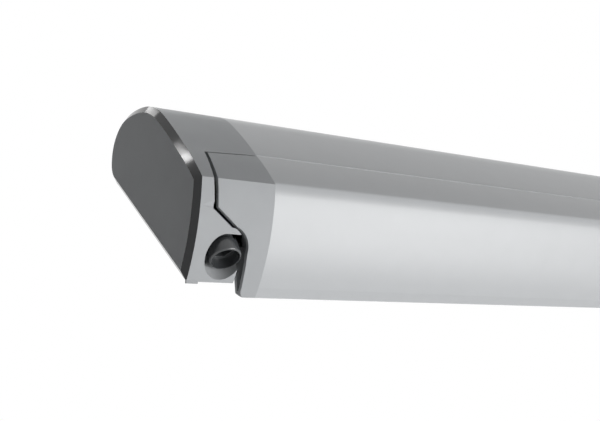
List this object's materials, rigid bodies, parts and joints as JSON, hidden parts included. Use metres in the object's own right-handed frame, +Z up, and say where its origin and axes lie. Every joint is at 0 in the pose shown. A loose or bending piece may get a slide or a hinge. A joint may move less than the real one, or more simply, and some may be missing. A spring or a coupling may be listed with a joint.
{
  "type": "cassette awning",
  "caption": "Roof-mounted cassette awning: coated case with end caps, fabric roll, folding arms, lead rail, fold-down legs and a crank-driven roller.",
  "frame": {"origin": "middle of the sloping underside (roof seat), at mid-length", "axes": "+X along the awning to its right end seen from the front, +Y to the back, +Z up"},
  "size_m": [2.6, 0.1521, 0.1407],
  "materials": {
    "coated_profile": "satin powder coat, pale grey",
    "cap_plastic": "fine-grained moulding, mid grey",
    "cup_plastic": "dark moulding",
    "fitting_plastic": "dark grey moulding",
    "bearing_plastic": "natural bearing plastic",
    "seal_rubber": "matt black",
    "foam": "closed-cell foam",
    "canvas": "coated canvas, grey",
    "keder": "smooth cord",
    "steel": "zinc plated",
    "mill_aluminium": "anodised, drawn lengthwise",
    "coated_arm": "satin powder coat",
    "cast_alloy": "fine blasted casting",
    "gear_case": "die casting",
    "wheel_brass": "machined"
  },
  "bodies": {
    "cassette": {"cassette_housing": "coated_profile", "base_front": "coated_profile", "base_middle": "coated_profile", "base_rear": "coated_profile", "slot_covers": "mill_aluminium", "roof_seal": "foam", "end_cap_left": "cap_plastic", "end_cap_right": "cap_plastic", "gearbox_housing": "gear_case", "roller_bearing": "bearing_plastic", "cap_screws": "steel", "shoulder_bracket_left": "cast_alloy", "shoulder_bracket_right": "cast_alloy", "slot_nut_front_left": "steel", "slot_nut_front_right": "steel", "slot_nut_rear_left": "steel", "slot_nut_rear_right": "steel"},
    "roller": {"roller_tube": "mill_aluminium", "fabric_roll": "canvas", "roller_plugs": "bearing_plastic", "worm_wheel": "wheel_brass"},
    "crank": {"crank_worm": "steel", "crank_cup": "cup_plastic"},
    "front": {"lead_rail": "coated_profile", "rail_seal": "seal_rubber", "rail_cap_left": "cap_plastic", "rail_cap_right": "cap_plastic", "keder_rod": "keder", "rail_bracket_left": "cast_alloy", "rail_bracket_right": "cast_alloy", "leg_mount_left": "cast_alloy", "leg_mount_right": "cast_alloy"},
    "canopy": {"canopy_sheet": "canvas"},
    "upper_arm_left": {"upper_arm_left": "coated_arm", "shoulder_casting_left": "cast_alloy", "elbow_fork_left": "cast_alloy", "arm_spring_left": "steel", "elbow_pin_left": "steel"},
    "forearm_left": {"forearm_left": "coated_arm", "elbow_tongue_left": "cast_alloy", "wrist_casting_left": "cast_alloy"},
    "leg_left": {"leg_tube_left": "mill_aluminium", "leg_collar_left": "fitting_plastic"},
    "leg_inner_left": {"leg_inner_left": "mill_aluminium"},
    "lock_lever_left": {"lock_lever_left": "fitting_plastic"},
    "foot_left": {"foot_left": "fitting_plastic"},
    "upper_arm_right": {"upper_arm_right": "coated_arm", "shoulder_casting_right": "cast_alloy", "elbow_fork_right": "cast_alloy", "arm_spring_right": "steel", "elbow_pin_right": "steel"},
    "forearm_right": {"forearm_right": "coated_arm", "elbow_tongue_right": "cast_alloy", "wrist_casting_right": "cast_alloy"},
    "leg_right": {"leg_tube_right": "mill_aluminium", "leg_collar_right": "fitting_plastic"},
    "leg_inner_right": {"leg_inner_right": "mill_aluminium"},
    "lock_lever_right": {"lock_lever_right": "fitting_plastic"},
    "foot_right": {"foot_right": "fitting_plastic"}
  },
  "joints": [
    {"name": "arm_open", "type": "hinge", "parent": "cassette", "child": "upper_arm_left", "pos_m": [-1.13, -0.05349, -0.0025], "axis": [0, 0.2419, -0.9703], "range_deg": [0, 72]},
    {"name": "elbow_left", "type": "hinge", "parent": "upper_arm_left", "child": "forearm_left", "pos_m": [-0.08, -0.063, -0.00487], "axis": [0, 0.2419, -0.9703], "range_deg": [-144, 0]},
    {"name": "wrist_left", "type": "hinge", "parent": "forearm_left", "child": "front", "pos_m": [-1.13, -0.07251, -0.00724], "axis": [0, 0.2419, -0.9703], "range_deg": [0, 72]},
    {"name": "shoulder_right", "type": "hinge", "parent": "cassette", "child": "upper_arm_right", "pos_m": [1.13, -0.05349, -0.0025], "axis": [0, 0.2419, -0.9703], "range_deg": [-72, 0]},
    {"name": "elbow_right", "type": "hinge", "parent": "upper_arm_right", "child": "forearm_right", "pos_m": [0.08, -0.063, -0.00487], "axis": [0, 0.2419, -0.9703], "range_deg": [0, 144]},
    {"name": "canopy_feed", "type": "slide", "parent": "cassette", "child": "canopy", "axis": [0, -0.9703, -0.2419], "range_m": [0, 1.9839], "deforming": ["canopy_sheet"]},
    {"name": "roller_spin", "type": "hinge", "parent": "cassette", "child": "roller", "pos_m": [0, -0.015, 0.02673], "axis": [1, 0, 0], "range_deg": [0, 4750]},
    {"name": "crank_spin", "type": "hinge", "parent": "cassette", "child": "crank", "pos_m": [-1.2731, -0.0811, -0.03287], "axis": [0, 0.5592, 0.829], "range_deg": [0, 61750]},
    {"name": "leg_swing_left", "type": "hinge", "parent": "front", "child": "leg_left", "pos_m": [-1.195, -0.0533, -0.03487], "axis": [0, 1, 0], "range_deg": [0, 90]},
    {"name": "leg_slide_left", "type": "slide", "parent": "leg_left", "child": "leg_inner_left", "axis": [1, 0, 0], "range_m": [0, 0.9802]},
    {"name": "foot_tilt_left", "type": "hinge", "parent": "leg_inner_left", "child": "foot_left", "pos_m": [-0.041, -0.0533, -0.03487], "axis": [0, 1, 0], "range_deg": [0, 60]},
    {"name": "lever_lift_left", "type": "hinge", "parent": "leg_left", "child": "lock_lever_left", "pos_m": [-0.0605, -0.0533, -0.04627], "axis": [0, -1, 0], "range_deg": [0, 100]},
    {"name": "leg_swing_right", "type": "hinge", "parent": "front", "child": "leg_right", "pos_m": [1.195, -0.0533, -0.03487], "axis": [0, -1, 0], "range_deg": [0, 90]},
    {"name": "leg_slide_right", "type": "slide", "parent": "leg_right", "child": "leg_inner_right", "axis": [-1, 0, 0], "range_m": [0, 0.9802]},
    {"name": "foot_tilt_right", "type": "hinge", "parent": "leg_inner_right", "child": "foot_right", "pos_m": [0.041, -0.0533, -0.03487], "axis": [0, -1, 0], "range_deg": [0, 60]},
    {"name": "lever_lift_right", "type": "hinge", "parent": "leg_right", "child": "lock_lever_right", "pos_m": [0.0605, -0.0533, -0.04627], "axis": [0, 1, 0], "range_deg": [0, 100]}
  ],
  "couplings": [
    {"joint": "elbow_left", "follows": "arm_open", "ratio": -2},
    {"joint": "wrist_left", "follows": "arm_open", "ratio": 1},
    {"joint": "shoulder_right", "follows": "arm_open", "ratio": -1},
    {"joint": "elbow_right", "follows": "arm_open", "ratio": 2},
    {"joint": "canopy_feed", "follows": "arm_open", "m_per_rad": 1.5786},
    {"joint": "roller_spin", "follows": "arm_open", "ratio": 65.9},
    {"joint": "crank_spin", "follows": "arm_open", "ratio": 856.7},
    {"joint": "leg_slide_left", "follows": "leg_swing_left", "m_per_rad": 0.62389},
    {"joint": "leg_slide_right", "follows": "leg_swing_right", "m_per_rad": 0.62389}
  ]
}
